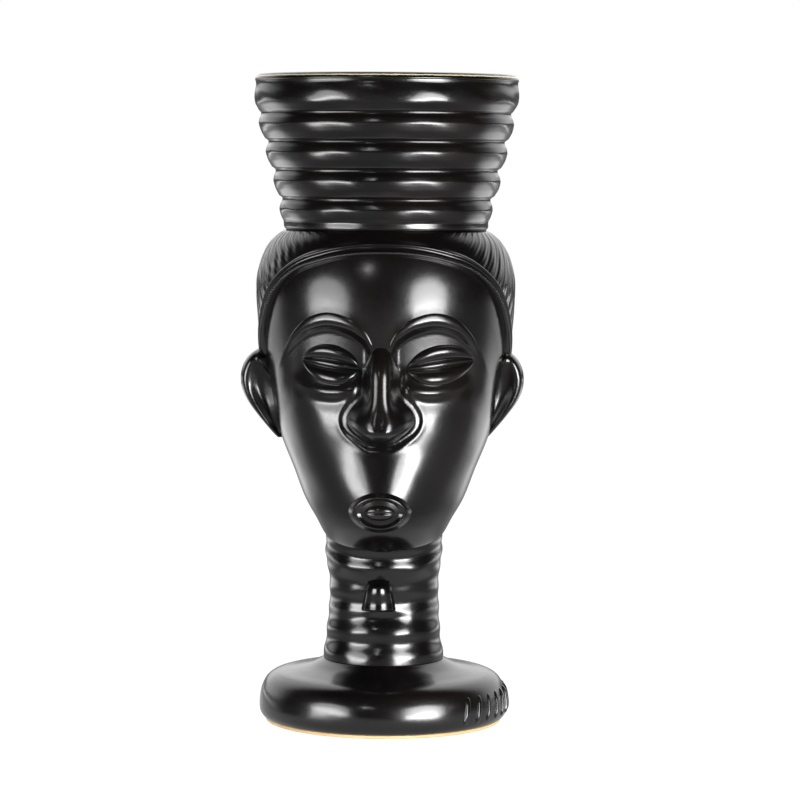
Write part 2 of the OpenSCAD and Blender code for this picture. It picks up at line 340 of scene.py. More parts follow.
@dataclass(frozen=True)
class Glaze:
    """A fired glaze that breaks to bare clay in a band between two heights, as along the lip's edge."""

    name: str
    colour: str
    roughness: float
    coat: float
    speckle_depth: float
    ripple_depth: float
    break_low: float = 1.0
    break_high: float = 1.0
    clay: str = "#d8cda6"
    thin: str = "#0e0b0a"

    def material(self) -> bpy.types.Material:
        """Builds the glaze's shader."""
        mat, tree = blank_material(self.name)
        place = add(tree, "ShaderNodeTexCoord").outputs["Object"]

        def noise(scale: Texture, detail: float, rough: float) -> bpy.types.NodeSocket:
            """A noise pattern at a real size."""
            return add(tree, "ShaderNodeTexNoise", {
                "Vector": place, "Scale": scale.value, "Detail": detail, "Roughness": rough,
            }).outputs["Fac"]

        speckle = noise(Texture.SPECKLE, 2.0, 0.6)
        pores = noise(Texture.PORES, 2.0, 0.5)
        ripple = noise(Texture.RIPPLE, 3.0, 0.5)
        cloud = noise(Texture.CLOUD, 2.0, 0.5)
        base = blend(tree, eased(tree, cloud, 0.35, 0.7, 0.0, 1.0), linear(self.colour),
                     linear(self.thin))
        height = add(tree, "ShaderNodeSeparateXYZ", {"Vector": place}).outputs["Z"]
        stray, fade = 0.04 * MM, 0.12 * MM
        low, high = self.break_low * MM, self.break_high * MM
        ragged = maths(tree, "ADD", eased(tree, pores, 0.3, 0.7, -stray, stray), height)
        worn = maths(tree, "MULTIPLY", eased(tree, ragged, low, low + fade, 0.0, 1.0),
                     eased(tree, ragged, high, high + fade, 1.0, 0.0))
        rough = eased(tree, speckle, 0.3, 0.7, self.roughness - 0.03, self.roughness + 0.03)
        gloss = maths(tree, "ADD", rough, eased(tree, cloud, 0.3, 0.7, -0.015, 0.02))
        grain = add(tree, "ShaderNodeBump", {
            "Strength": 1.0, "Distance": self.speckle_depth * MM, "Height": speckle})
        waves = add(tree, "ShaderNodeBump", {
            "Strength": 1.0, "Distance": self.ripple_depth * MM, "Height": ripple,
            "Normal": grain.outputs["Normal"]})
        shader = add(tree, "ShaderNodeBsdfPrincipled", {
            "Base Color": blend(tree, worn, base, linear(self.clay)),
            "Roughness": gloss, "IOR": 1.52, "Specular IOR Level": 0.5,
            "Coat Weight": self.coat, "Coat Roughness": 0.12, "Coat IOR": 1.45,
            "Normal": waves.outputs["Normal"],
        })
        add(tree, "ShaderNodeOutputMaterial", {"Surface": shader.outputs["BSDF"]})
        return mat


@dataclass(frozen=True)
class Clay:
    """Bare fired clay, matt and grainy."""

    name: str
    light: str
    dark: str

    def material(self) -> bpy.types.Material:
        """Builds the clay's shader."""
        mat, tree = blank_material(self.name)
        place = add(tree, "ShaderNodeTexCoord").outputs["Object"]
        grain = add(tree, "ShaderNodeTexNoise", {
            "Vector": place, "Scale": Texture.PORES.value, "Detail": 5.0}).outputs["Fac"]
        blotch = add(tree, "ShaderNodeTexNoise", {
            "Vector": place, "Scale": Texture.RIPPLE.value, "Detail": 3.0}).outputs["Fac"]
        tint = blend(tree, blotch, linear(self.light), linear(self.dark))
        relief = add(tree, "ShaderNodeBump", {
            "Strength": 0.6, "Distance": 0.00008, "Height": grain})
        shader = add(tree, "ShaderNodeBsdfPrincipled", {
            "Base Color": tint, "Roughness": 0.85, "IOR": 1.5, "Normal": relief.outputs["Normal"]})
        add(tree, "ShaderNodeOutputMaterial", {"Surface": shader.outputs["BSDF"]})
        return mat


@dataclass
class Finishes:
    """The mug's finishes, built once and shared."""

    body: bpy.types.Material = field(default_factory=Glaze(
        "black_glaze", "#070606", 0.21, 0.1, 0.008, 0.085).material)
    lip: bpy.types.Material = field(default_factory=Glaze(
        "lip_glaze", "#070606", 0.21, 0.1, 0.008, 0.085, break_low=159.16, break_high=159.42).material)
    inner: bpy.types.Material = field(default_factory=Glaze(
        "inner_glaze", "#0c0a0a", 0.14, 0.4, 0.005, 0.12).material)
    clay: bpy.types.Material = field(default_factory=Clay("bare_clay", "#d9bf92", "#b8925f").material)


def hand_in(obj: bpy.types.Object, mat: bpy.types.Material, slot: str, *nodes: str) -> None:
    """Gives a piece its finish, its place on the frame and the node it stands for.

    Args:
        obj: The piece.
        mat: Its finish.
        slot: The record's material slot for that finish; not used.
        nodes: The nodes it replaces, if any.
    """
    obj.data.materials.clear()
    obj.data.materials.append(mat)
    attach(obj, "root")
    if nodes:
        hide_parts(*nodes)
    LOG.info("piece %s: %d faces", obj.name, len(obj.data.polygons))


# ---- the cavity, shared by every walled section ----------------------------------------------
CAVITY_ROWS = [
    [RIM_R - LIP_WALL, MUG_H + 0.4], [RIM_R - LIP_WALL - 0.2, MUG_H - 5], [26.9, 144],
    [24.2, 132], [22.2, 124], [22.6, 118], [25.0, 110], [26.0, 101], [25.2, 91], [23.4, 80],
    [20.8, 70], [17.0, 61], [12.6, 53.5], [9.8, 47], [9.2, 40], [9.0, 30], [9.0, 22],
    [10.2, 15.6], [15.0, 11.3], [21.0, 9.6], [25.2, 8.0], [26.2, 5.9], [24.0, 4.0],
    [18.0, FLOOR_Z], [0, FLOOR_Z],
]
CAVITY = samples(CAVITY_ROWS, 5)


def cavity_between(high: float, low: float) -> np.ndarray:
    """The cavity's wall from one height down to another, cut exactly at both."""
    wall = CAVITY[:CAVITY[:, 1].argmin() + 1]
    inside = wall[(wall[:, 1] < high) & (wall[:, 1] > low)]
    ends = [[np.interp(-z, -wall[:, 1], wall[:, 0]), z] for z in (high, low)]
    return np.concatenate([[ends[0]], inside, [ends[1]]])


# ---- crown -----------------------------------------------------------------------------------
@dataclass
class Crown:
    """The flared cup with its rolls, the wide band and the rounded lip."""

    foot_r: float = 25.2
    rolls: int = 4
    roll_low: float = 127.0
    band_z: float = 155.0
    depth: float = 1.0
    segments: int = 288
    shape: tuple = ((-0.53, -0.56), (-0.42, -0.26), (-0.31, -0.04), (-0.2, 0.04), (-0.1, 0.06),
                    (0.0, 0.0), (0.1, -0.28), (0.18, -0.56), (0.25, -0.9), (0.31, -1.14),
                    (0.365, -1.24), (0.38, -1.22), (0.43, -0.92))

    def profile(self) -> np.ndarray:
        """The outside from the head up to the lip bead."""
        pitch = (self.band_z - self.roll_low) / self.rolls
        slope = (RIM_R - self.foot_r - 2.1) / 21.3
        rows = [[self.foot_r - 0.5, CROWN_Z], [self.foot_r - 0.05, CROWN_Z + 0.5],
                [self.foot_r + 0.05, CROWN_Z + 1.2]]
        for k in range(self.rolls):
            for at, out in self.shape:
                z = self.roll_low + (k + at) * pitch
                r = self.foot_r + 1.1 + slope * (z - self.roll_low) + self.depth * out
                if z > rows[-1][1] + 0.1:
                    rows.append([r, z])
        rows += [[RIM_R - 0.75, self.band_z - 3.2], [RIM_R - 0.2, self.band_z - 2.2],
                 [RIM_R + 0.02, self.band_z - 1.0], [RIM_R + 0.03, self.band_z + 0.4],
                 [RIM_R - 0.12, self.band_z + 1.6], [RIM_R - 0.24, self.band_z + 2.6],
                 [RIM_R - 0.16, LIP_LOW]]
        return samples(rows, 5)

    def wobble(self, a: np.ndarray, z: np.ndarray) -> np.ndarray:
        """The hand-finished unevenness of the rolls."""
        fade = ramp(z, CROWN_Z, CROWN_Z + 3) * (1 - ramp(z, LIP_LOW - 2, LIP_LOW))
        return fade * (0.10 * np.sin(3 * a + 0.21 * z) + 0.06 * np.sin(7 * a - 0.5 * z)
                       + 0.04 * np.sin(17 * a + 0.9 * z))

    def build(self) -> list[bpy.types.Object]:
        """Builds the wall and the lip."""
        wall = np.concatenate([self.profile(), cavity_between(LIP_LOW, CROWN_Z)])
        crown = revolve("crown_wall_glazed", wall, self.segments, True, self.wobble)
        t = np.radians(np.arange(0, 181, 7.5))
        mid = RIM_R - 0.05 - LIP_WALL / 2
        bead = np.stack([mid + LIP_WALL / 2 * np.cos(t), LIP_LOW + 1.6 * np.sin(t) ** 0.8], -1)
        inner = cavity_between(LIP_LOW + 0.02, LIP_LOW)[-1]
        bead[-1] = inner
        return [crown, revolve("lip_bead_glazed", bead, self.segments, True)]

    def dress(self, pieces: list[bpy.types.Object], finishes: Finishes) -> None:
        """Gives the pieces their finishes."""
        hand_in(pieces[0], finishes.body, "black_glaze", "crown_wall")
        hand_in(pieces[1], finishes.lip, "black_glaze", "lip_bead")


# ---- skull -----------------------------------------------------------------------------------
SKULL_ROWS = np.array([
    [CROWN_Z, 23.9, 23.6, 24.2, 0], [119.0, 27.2, 26.0, 27.6, 0], [115.0, 29.4, 27.6, 29.8, 0],
    [109.0, 30.7, 28.6, 30.8, 0], [101.0, 30.4, 28.6, 30.9, 0], [92.0, 29.6, 27.6, 30.0, 0],
    [82.0, 28.1, 26.6, 28.0, 0], [72.0, 26.0, 26.3, 24.8, 0], [63.0, 22.5, 25.7, 20.8, 0.3],
    [56.0, 19.8, 24.7, 17.6, 0.9], [51.2, 17.0, 22.9, 15.4, 2.1], [48.2, 15.2, 20.0, 14.3, 3.6],
    [47.5, 14.0, 16.4, 13.8, 3.0], [SKULL_FOOT_Z, 13.6, 13.6, 13.6, 0],
])
HAIRLINE = [[0, 117], [15, 116.6], [30, 115.1], [45, 112.3], [60, 106.4], [75, 97.6], [90, 88.5],
            [105, 83], [120, 80], [135, 77.6], [150, 75.8], [165, 74.7], [180, 74.4]]
BAND_H = 2.3
EYE_X, EYE_Z, EYE_SHIFT = 13.1, 90.3, 0.6
BROW = [[0, 92.0], [1.8, 93.4], [3.8, 96.4], [7.5, 99.0], [13, 100.2], [18, 98.8], [21.6, 95.6],
        [24, 92.0], [27, 86.0], [32, 78.0]]
NOSE_ROWS = [
    [94.2, 1.8, 0.3, 0.5], [92.4, 3.2, 1.5, 0.65], [90.3, 4.1, 2.9, 0.7], [88.0, 4.8, 3.9, 0.72],
    [85.0, 5.2, 4.5, 0.72], [82.0, 6.0, 5.0, 0.66], [79.5, 8.0, 5.4, 0.3], [77.5, 8.9, 5.9, 0.04],
    [75.6, 8.8, 6.4, 0.0], [74.0, 7.8, 6.5, 0.0], [72.7, 6.2, 5.5, 0.0], [71.5, 4.5, 3.6, 0.0],
    [70.6, 2.6, 1.0, 0.0],
]


class Skull:
    """The head's surface, as functions that every face and hair piece shares."""

    def __init__(self) -> None:
        """Tabulates heights once, so that a row can be found from a height."""
        self.t = np.linspace(0, 10.6, 1061)
        self.z = along(SKULL_ROWS, self.t)[:, 0]
        nose = samples(NOSE_ROWS, 6)
        foot = np.stack([np.linspace(-2.2, 2.2, 11) + FACE_X, np.full(11, nose[-1, 0])], -1)
        self.nose_edge = np.concatenate([
            *(np.stack([side * nose[:, 1] + FACE_X, nose[:, 0]], -1) for side in (-1, 1)), foot])

    def row_at(self, z: np.ndarray) -> np.ndarray:
        """The place in the table of sections at a height."""
        return np.interp(-np.asarray(z, float), -self.z, self.t)

    def relief(self, x: np.ndarray, z: np.ndarray) -> np.ndarray:
        """How far the carved face stands out at a place on it, negative where it is sunk.

        Args:
            x: Sideways places.
            z: Heights.

        Returns:
            The relief in millimetres.
        """
        u = np.abs(x - FACE_X)
        below = curve_at(BROW, u) - z
        # the socket under the brow, and the brow's own swell
        reach = ramp(u, 1.0, 4.5) * (1 - ramp(u, 20.0, 27.0))
        hollow = ramp(below, -0.3, 2.6) * (1 - ramp(below, 7.5, 17.0))
        out = -2.3 * reach * hollow
        out += 0.2 * bump(below + 0.9, 1.8) * reach * (below < 6)
        # the fold under each eye and the hollow below it
        fold = 83.2 + 0.035 * (u - 12.4) ** 2
        out += 0.75 * bump(z - fold, 1.25) * bump(u - 13.0, 6.0)
        out -= 0.35 * bump(z - fold + 2.4, 1.6) * bump(u - 13.0, 6.5)
        # cheeks, and the jaw's swell round the mouth
        out += 0.4 * bump(u - 12.0, 7.0) * bump(z - 74.0, 7.0)
        out += 3.5 * bump(u, 13.0) * ramp(z, 75.0, 53.0) * (1 - ramp(z, 50.5, 42.0))
        # a fine groove round the nose
        near = (u < 14) & (z > 66) & (z < 90)
        gap = np.full(np.shape(x), 9.0)
        spots = np.stack([x[near], z[near]], -1)
        if len(spots):
            gap[near] = np.sqrt(((spots[:, None] - self.nose_edge[None]) ** 2).sum(-1)).min(1)
        low = 1 - ramp(z, 80, 86)
        out -= 0.3 * bump(gap - 0.3, 0.5) * (0.4 + 0.6 * low)
        out += 0.1 * bump(gap - 1.4, 0.6) * low
        return out

    def at(self, a: np.ndarray, t: np.ndarray, out: np.ndarray | float, carve: bool = True) -> np.ndarray:
        """Points on the head.

        Args:
            a: Angles round from the face, in radians.
            t: Places in the table of sections.
            out: Distances outwards.
            carve: Whether the face's relief is added.

        Returns:
            Points in millimetres.
        """
        s = along(SKULL_ROWS, t)
        c = np.cos(a)
        depth = np.where(c > 0, s[..., 2], s[..., 3]) + out
        x = (s[..., 1] + out) * np.sin(a)
        z = s[..., 0] - s[..., 4] * c
        sunk = np.where(c > 0, self.relief(x, z) * ramp(c, 0.0, 0.45), 0.0) if carve else 0.0
        return np.stack([x, -(depth + sunk) * c, z], -1)

    def on_face(self, x: np.ndarray, z: np.ndarray, out: np.ndarray | float,
                carve: bool = True) -> np.ndarray:
        """Points on the face by their x and height, out millimetres proud of it."""
        t = self.row_at(z)
        for _ in range(3):
            s = along(SKULL_ROWS, t)
            a = np.arcsin(np.clip(x / s[..., 1], -1, 1))
            t = self.row_at(z + s[..., 4] * np.cos(a))
        s = along(SKULL_ROWS, t)
        a = np.arcsin(np.clip(x / s[..., 1], -1, 1))
        flat = self.at(a, t, 0.0, carve)
        lean = np.stack([np.sin(a) * 0.9, -np.cos(a), 0 * a], -1)
        lean /= np.linalg.norm(lean, axis=-1, keepdims=True)
        return flat + lean * np.asarray(out)[..., None]

    @staticmethod
    def hair_z(a: np.ndarray) -> np.ndarray:
        """The height of the hair's edge at an angle round the head."""
        turn = np.abs((np.degrees(a) + 180) % 360 - 180)
        return curve_at(HAIRLINE, turn)


@dataclass
class Head:
    """The cast head, its hair and the band along the hair's edge."""

    skull: Skull
    front_columns: int = 300
    back_columns: int = 60
    face_rows: int = 210
    hair_thick: float = 1.2

    def angles(self) -> np.ndarray:
        """Angles round the head, close together over the face."""
        front = np.linspace(-0.5 * np.pi, 0.5 * np.pi, self.front_columns, endpoint=False)
        back = np.linspace(0.5 * np.pi, 1.5 * np.pi, self.back_columns, endpoint=False)
        return np.concatenate([front, back])

    def build_shell(self) -> bpy.types.Object:
        """The head from the crown down to the neck, hollow inside."""
        a = self.angles()[None, :]
        last = len(SKULL_ROWS) - 1
        top = np.linspace(0, 1.6, 10, endpoint=False)
        t = np.concatenate([top, np.linspace(1.6, last, self.face_rows)])[:, None] + 0 * a
        outer = self.skull.at(a + 0 * t, t, 0.0)
        inner = cavity_between(SKULL_ROWS[0, 0], SKULL_FOOT_Z)[::-1]
        r, z = inner[:, 0][:, None], inner[:, 1][:, None] + 0 * a
        inside = np.stack([r * np.sin(a), -r * np.cos(a), z], -1)
        return skin("head_shell_carved", np.concatenate([outer, inside]), True)

    def strands(self, a: np.ndarray, share: np.ndarray) -> np.ndarray:
        """The combed grooves of the hair, leaning back from the band."""
        turn = (a + np.pi) % (2 * np.pi) - np.pi
        lean = turn + np.sign(turn) * 0.42 * share * ramp(np.abs(turn), 0.1, 0.7)
        comb = 0.5 + 0.5 * np.sin(64 * lean + 1.7 * np.sin(7 * share + 5 * turn))
        fine = 0.5 + 0.5 * np.sin(149 * lean + 2.0 * np.sin(5 * share))
        fade = ramp(share, 0.0, 0.12) * (1 - ramp(share, 0.93, 1.0))
        fade = fade * (0.12 + 0.88 * ramp(np.abs(turn), 0.55, 1.15))
        return fade * (0.19 * comb + 0.12 * fine - 0.17)

    def build_hair(self) -> bpy.types.Object:
        """The hair, a carved skin over the skull down to its edge."""
        a = np.linspace(-np.pi, np.pi, 720, endpoint=False)[None, :]
        hem = self.skull.row_at(self.skull.hair_z(a) + 0.6 * BAND_H)
        share = np.linspace(0, 1, 64)[:, None]
        t = share * hem
        turn = a + 0 * t
        lift = self.hair_thick + self.strands(turn, share + 0 * a)
        lift = lift - 0.5 * (1 - ramp(share, 0.0, 0.06)) - 0.25 * ramp(share, 0.94, 1.0)
        outer = self.skull.at(turn, t, lift, carve=False)
        inner = self.skull.at(turn[::-1], t[::-1], -0.4, carve=False)
        return skin("hair_cap_combed", np.concatenate([outer, inner]), True)

    def build_band(self) -> bpy.types.Object:
        """The band along the hair's edge: two ridges with a channel between them."""
        a = np.linspace(-np.pi, np.pi, 720, endpoint=False)[None, :]
        base = self.skull.hair_z(a)
        section = np.array([
            [1.45, -0.3], [1.35, 0.9], [1.18, 1.45], [1.0, 1.72], [0.84, 1.62], [0.72, 1.2],
            [0.6, 1.0], [0.42, 0.95], [0.26, 1.02], [0.16, 1.3], [0.05, 1.4], [-0.06, 1.3],
            [-0.15, 0.95], [-0.2, 0.4], [-0.22, -0.3]])
        curve = samples(section.tolist(), 3)
        rise, lift = curve[:, 0][:, None], curve[:, 1][:, None] + 0 * a
        t = self.skull.row_at(base + rise * BAND_H)
        return skin("brow_band_rolled", self.skull.at(a + 0 * t, t, lift, carve=False), True)

    def build_beads(self) -> bpy.types.Object:
        """A row of small beads pressed along the band's lower ridge."""
        a = np.radians(np.linspace(-100, 100, 241))
        t = self.skull.row_at(self.skull.hair_z(a) + 0.06 * BAND_H)
        return strung_beads("band_beads", self.skull.at(a, t, 1.32, carve=False), 0.34, 0.86)

    def build(self) -> list[bpy.types.Object]:
        """Builds the shell, hair, band and beads."""
        return [self.build_shell(), self.build_hair(), self.build_band(), self.build_beads()]

    def dress(self, pieces: list[bpy.types.Object], finishes: Finishes) -> None:
        """Gives the pieces their finishes."""
        for piece, nodes in zip(pieces, (["head_shell"], ["hair_cap"], ["brow_band"], [])):
            hand_in(piece, finishes.body, "black_glaze", *nodes)


def strung_beads(name: str, path: np.ndarray, radius: float, pitch: float) -> bpy.types.Object:
    """Sets beads along a path with Geometry Nodes and bakes them into one mesh.

    Args:
        name: The piece's name.
        path: Points of the path in millimetres.
        radius: A bead's radius in millimetres.
        pitch: The distance between beads in millimetres.

    Returns:
        The baked object.
    """
    curve = bpy.data.curves.new(name + "_path", "CURVE")
    curve.dimensions = "3D"
    line = curve.splines.new("POLY")
    line.points.add(len(path) - 1)
    line.points.foreach_set("co", np.c_[path * MM, np.ones(len(path))].ravel())
    holder = linked(name + "_path", curve)
    tree, ids, source = node_rule(name + "_rule", {
        "Path": "Geometry", "Radius": "Float", "Pitch": "Float", "Finish": "Material"}, "Beads")
    spots = add(tree, "GeometryNodeResampleCurve", {
        "Curve": source.outputs["Path"], "Length": source.outputs["Pitch"]}, mode="LENGTH")
    ball = add(tree, "GeometryNodeMeshIcoSphere", {
        "Radius": source.outputs["Radius"], "Subdivisions": 3})
    smooth = add(tree, "GeometryNodeSetShadeSmooth", {"Geometry": ball.outputs["Mesh"]})
    vary = add(tree, "FunctionNodeRandomValue", {2: 0.82, 3: 1.12, "Seed": 5}, data_type="FLOAT")
    strung = add(tree, "GeometryNodeInstanceOnPoints", {
        "Points": spots.outputs["Curve"], "Instance": smooth.outputs["Geometry"],
        "Scale": vary.outputs[1]})
    end_rule(tree, source, strung.outputs["Instances"])
    return baked(name, holder, tree, {
        ids["Radius"]: radius * MM, ids["Pitch"]: pitch * MM,
        ids["Finish"]: bpy.data.materials.get("black_glaze")})


# ---- relief of the face ----------------------------------------------------------------------
@dataclass
class Face:
    """The pressed relief: brow ridges, nose, eyes and mouth."""

    skull: Skull
    eye_half: float = 7.5
    eye_tall: float = 5.0
    mouth_x: float = -0.5
    mouth_z: float = 54.6

    def build_nose(self) -> bpy.types.Object:
        """The long wedge of the nose with its ridge, tip and flared wings."""
        rows = samples(NOSE_ROWS, 9)
        u = np.linspace(-1, 1, 97)[None, :]
        z, wide, tall, share = (rows[:, k][:, None] for k in range(4))
        x = wide * u
        ridge = 1 / (1 + (x / 7.0) ** 2 + (np.abs(x) / 3.2) ** 6)
        body = 1 - np.abs(u) ** 2.4
        tip = bump(z - 76.0, 3.4)
        lift = tall * (share * ridge * (1 - 0.25 * u * u) + (1 - share) * body)
        lift -= 0.2 * tip * bump(x, 1.2)
        wing = bump(z - 76.6, 2.6) * bump(np.abs(x) - 6.2, 1.7)
        lift = lift + 0.6 * wing - 0.2 * bump(np.abs(x) - 4.8, 1.5) * bump(z - 77.5, 3.0)
        lift = np.where(np.abs(u) > 0.985, -0.7, lift)
        zz = z + 0 * u
        front = self.skull.on_face(x + FACE_X + 0 * zz, zz, 0.0, carve=False)
        base = self.skull.on_face(FACE_X + 0 * zz, zz, 0.0, carve=False)
        front[..., 1] = 0.55 * front[..., 1] + 0.45 * base[..., 1] - lift
        edge = np.abs(u) ** 3
        rim = self.skull.on_face(x + FACE_X + 0 * zz, zz, -0.6)
        front[..., 1] = (1 - edge) * front[..., 1] + edge * rim[..., 1]
        back = self.skull.on_face(x + FACE_X + 0 * zz, zz, -1.2)
        return patch("nose_pressed", front, back)

    def build_eye(self, side: int) -> bpy.types.Object:
        """Two lids and the slit between them, in one almond."""
        u = np.linspace(-1, 1, 121)[None, :]
        v = np.linspace(-1, 1, 97)[:, None]
        fall = (1 - u * u)
        tall = self.eye_tall * np.clip(fall, 0, None) ** 0.62
        x = side * (EYE_X + (self.eye_half + 0.5 * side) * u) + EYE_SHIFT + 0 * v
        z = EYE_Z - 0.3 + 0.9 * u + v * tall
        lids = ((0.60, 0.38, 1.75), (0.04, 0.2, 0.95), (-0.58, 0.4, 1.65))
        lift = 0 * x - 0.5
        for centre, half, high in lids:
            s = np.clip(1 - ((v - centre) / half) ** 2, 0, None)
            lift = np.maximum(lift, high * np.sqrt(s) * fall ** 0.45 - 0.15)
        lift = np.where((np.abs(v) > 0.985) | (np.abs(u) > 0.99), -0.9, lift)
        return patch(f"{'right' if side > 0 else 'left'}_eye_pressed",
                     self.skull.on_face(x, z, lift), self.skull.on_face(x, z, -1.4))

    def build_brows(self) -> bpy.types.Object:
        """A thin crest along each brow, from the root of the nose to the temple."""
        halves = []
        for side in (-1, 1):
            path = samples(BROW[1:8], 12)
            u, z = path[:, 0][:, None], path[:, 1][:, None]
            turn = np.linspace(0, 2 * np.pi, 20, endpoint=False)[None, :]
            share = np.linspace(0, 1, len(path))[:, None]
            size = 0.2 + 1.1 * np.sin(np.pi * share) ** 0.6
            dz = size * 1.5 * np.cos(turn) + 0.7
            lift = size * 0.34 * np.sin(turn) - 0.18
            halves.append(self.skull.on_face(side * (u + 0 * turn) + FACE_X, z + dz, lift))
        pair = [skin(f"brow_{k}", half, False) for k, half in enumerate(halves)]
        return joined("brow_ridges_pressed", pair)

    def build_mouth(self) -> bpy.types.Object:
        """A raised ring round two pursed lips."""
        turn = np.linspace(0, 2 * np.pi, 144, endpoint=False)[None, :]
        r = np.linspace(1, 0.02, 90)[:, None]
        wide, tall = 7.9, 5.2
        point = 1 - 0.02 * np.abs(np.sin(2 * turn))     # a hint of corners
        dx, dz = wide * r * np.cos(turn) * point, tall * r * np.sin(turn) * point
        ring = 1.0 * np.where(r > 0.74, 1 - ramp(r, 0.74, 1.0), bump(r - 0.74, 0.13))
        q = np.sqrt((dx / 4.0) ** 2 + (dz / 1.9) ** 2)
        dome = np.clip(1 - q * q, 0, None)
        lips = 0.9 * dome ** 0.8 - 0.3 * bump(dz - 0.1 * np.cos(dx), 0.3) * dome
        well = -0.35 * bump(r - 0.54, 0.12)
        lift = ring + lips + well + 0.02 - 0.1 * ramp(r, 0.9, 1.0)
        place = (dx + self.mouth_x, dz + self.mouth_z)
        front = self.skull.on_face(*place, lift)
        back = self.skull.on_face(place[0][::-1], place[1][::-1], -1.2)
        return skin("mouth_pressed", np.concatenate([front[::-1], back[::-1]]), False)

    def build(self) -> dict[str, bpy.types.Object]:
        """Builds each piece of relief."""
        return {"nose": self.build_nose(), "left_eye": self.build_eye(-1),
                "right_eye": self.build_eye(1), "brow_ridges": self.build_brows(),
                "mouth": self.build_mouth()}

    def dress(self, pieces: dict[str, bpy.types.Object], finishes: Finishes) -> None:
        """Gives the pieces their finishes."""
        for node, piece in pieces.items():
            hand_in(piece, finishes.body, "black_glaze", node)


def joined(name: str, parts: list[bpy.types.Object]) -> bpy.types.Object:
    """Joins separate closed meshes into one object."""
    verts, faces, start = [], [], 0
    for part in parts:
        verts += [v.co[:] for v in part.data.vertices]
        faces += [[start + i for i in p.vertices] for p in part.data.polygons]
        start = len(verts)
        bpy.data.objects.remove(part)
    mesh = bpy.data.meshes.new(name)
    mesh.from_pydata(verts, [], faces)
    mesh.shade_smooth()
    return linked(name, mesh)


# ---- ears ------------------------------------------------------------------------------------
@dataclass
class Ear:
    """A cupped leaf with a rolled rim, open to the front."""

    side: int
    outline: tuple = ((92.9, 27.6, 28.8), (91.9, 27.0, 31.4), (90.3, 27.2, 33.3), (88.0, 27.4, 34.6),
                      (85.4, 27.2, 35.1), (82.6, 26.8, 34.8), (79.6, 26.2, 33.5), (76.4, 25.4, 31.2),
                      (73.6, 24.7, 28.9), (71.4, 24.2, 27.0), (70.2, 24.2, 25.8))

    def build(self) -> bpy.types.Object:
        """Builds the leaf: rim and bowl in front, a smooth back behind."""
        rows = samples(self.outline, 7)
        z, inner, outer = (rows[:, k][:, None] for k in range(3))
        s = np.linspace(0, 1, 61)[None, :]
        x = inner + (outer - inner) * s
        height = np.linspace(0, 1, len(rows))[:, None]
        edge = np.minimum(ramp(height, 0.0, 0.26), 1 - ramp(height, 0.62, 1.0))
        q = np.sqrt(((s - 0.42) / 0.5) ** 2 + ((height - 0.58) / 0.36) ** 2)
        bowl = 1 - ramp(q, 0.0, 1.2)
        fold = 0.42 - 0.41 * s
        rim = np.sqrt(np.clip(1 - np.clip((s - 0.62) / 0.38, 0, 1) ** 2.6, 0, None))
        front_y = -3.9 * rim * np.sqrt(edge) + 1.6 * bowl
        front_y = front_y + 0.8 * (1 - s)
        front_y = front_y - 0.5 * bump(height - fold, 0.055) * (1 - ramp(s, 0.6, 0.9))
        front_y = front_y + 0.3 * ramp(fold - height, 0.0, 0.12) * (1 - ramp(s, 0.5, 0.85))
        back_y = 1.2 + 3.6 * np.sqrt(np.clip(1 - s ** 2.2, 0, None)) * np.sqrt(edge)
        front_y = np.minimum(front_y, back_y - 0.9 * np.sqrt(edge) * (s < 0.995))
        side_x = self.side * x - 0.75
        front = np.stack([side_x, front_y, z + 0 * s], -1)
        back = np.stack([side_x, back_y, z + 0 * s], -1)
        return patch(f"{'right' if self.side > 0 else 'left'}_ear_cupped", front, back)

    def dress(self, piece: bpy.types.Object, finishes: Finishes) -> None:
        """Gives the ear its finish."""
        hand_in(piece, finishes.body, "black_glaze", "right_ear" if self.side > 0 else "left_ear")


